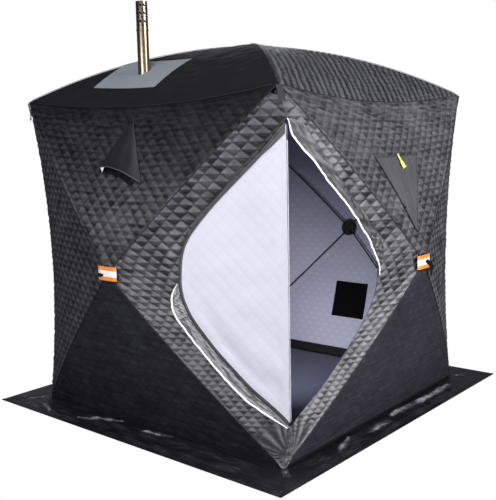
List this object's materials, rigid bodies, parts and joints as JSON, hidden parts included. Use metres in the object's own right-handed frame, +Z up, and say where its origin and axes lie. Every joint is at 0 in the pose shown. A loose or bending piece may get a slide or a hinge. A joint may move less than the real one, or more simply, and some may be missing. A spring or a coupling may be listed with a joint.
{
  "type": "ice fishing hut",
  "caption": "Pop-up quilted ice fishing hut with pushed-out hubs, bowed poles, a leaf-shaped corner door that folds back, a snow skirt and a stove pipe through the roof.",
  "frame": {"origin": "centre of the base on the ground, under the roof peak", "axes": "+Z up, -Y out of the front wall with the vent hood, +X out of the right wall with the window; the door corner is at +X -Y"},
  "size_m": [2.287, 2.287, 2.274],
  "materials": {
    "quilted_shell": "quilted, satin",
    "white_lining": "quilted lining, matte",
    "webbing": "woven, matte",
    "storm_cloth": "crinkled, satin",
    "hub_plastic": "moulded",
    "pole_rod": "solid glass-fibre rod",
    "skirt_cloth": "coated, glossy",
    "jack_cloth": "heat-proof cloth, matte",
    "pipe_steel": "heat-tinted",
    "strap_webbing": "woven bands",
    "bright_steel": "plated"
  },
  "bodies": {
    "hut": {"front_roof_panel": "quilted_shell", "right_roof_panel": "quilted_shell", "back_roof_panel": "quilted_shell", "left_roof_panel": "quilted_shell", "front_upper_panel": "quilted_shell", "right_upper_panel": "quilted_shell", "back_upper_panel": "quilted_shell", "left_upper_panel": "quilted_shell", "front_lower_panel": "quilted_shell", "right_lower_panel": "quilted_shell", "back_lower_panel": "quilted_shell", "left_lower_panel": "quilted_shell", "left_corner_panel": "quilted_shell", "back_corner_panel": "quilted_shell", "right_corner_panel": "quilted_shell", "door_surround_front": "quilted_shell", "door_surround_right": "quilted_shell", "door_fixed_half": "quilted_shell", "door_fold": "white_lining", "storm_flap_upper": "storm_cloth", "storm_flap_lower": "storm_cloth", "wall_hubs": "hub_plastic", "roof_hub": "hub_plastic", "wall_poles": "pole_rod", "roof_poles": "pole_rod", "eave_sockets": "hub_plastic", "ground_sockets": "hub_plastic", "front_skirt": "skirt_cloth", "right_skirt": "skirt_cloth", "back_skirt": "skirt_cloth", "left_skirt": "skirt_cloth", "stove_jack": "jack_cloth", "stove_pipe": "pipe_steel", "pipe_cap": "pipe_steel", "vent_hood": "quilted_shell", "window_cover": "quilted_shell", "storage_pocket": "webbing", "pull_straps": "strap_webbing", "eave_tabs": "webbing", "eave_ring": "bright_steel", "stake_tabs": "webbing", "stake_eyelets": "bright_steel"},
    "door_leaf": {"door_flap": "white_lining", "door_zip_tape": "webbing"}
  },
  "joints": [
    {"name": "door_fold_hinge", "type": "hinge", "parent": "hut", "child": "door_leaf", "pos_m": [0.88769, -0.83104, 0.18996], "axis": [0.0114, -0.0114, 0.9999], "range_deg": [0, 235.08]}
  ]
}
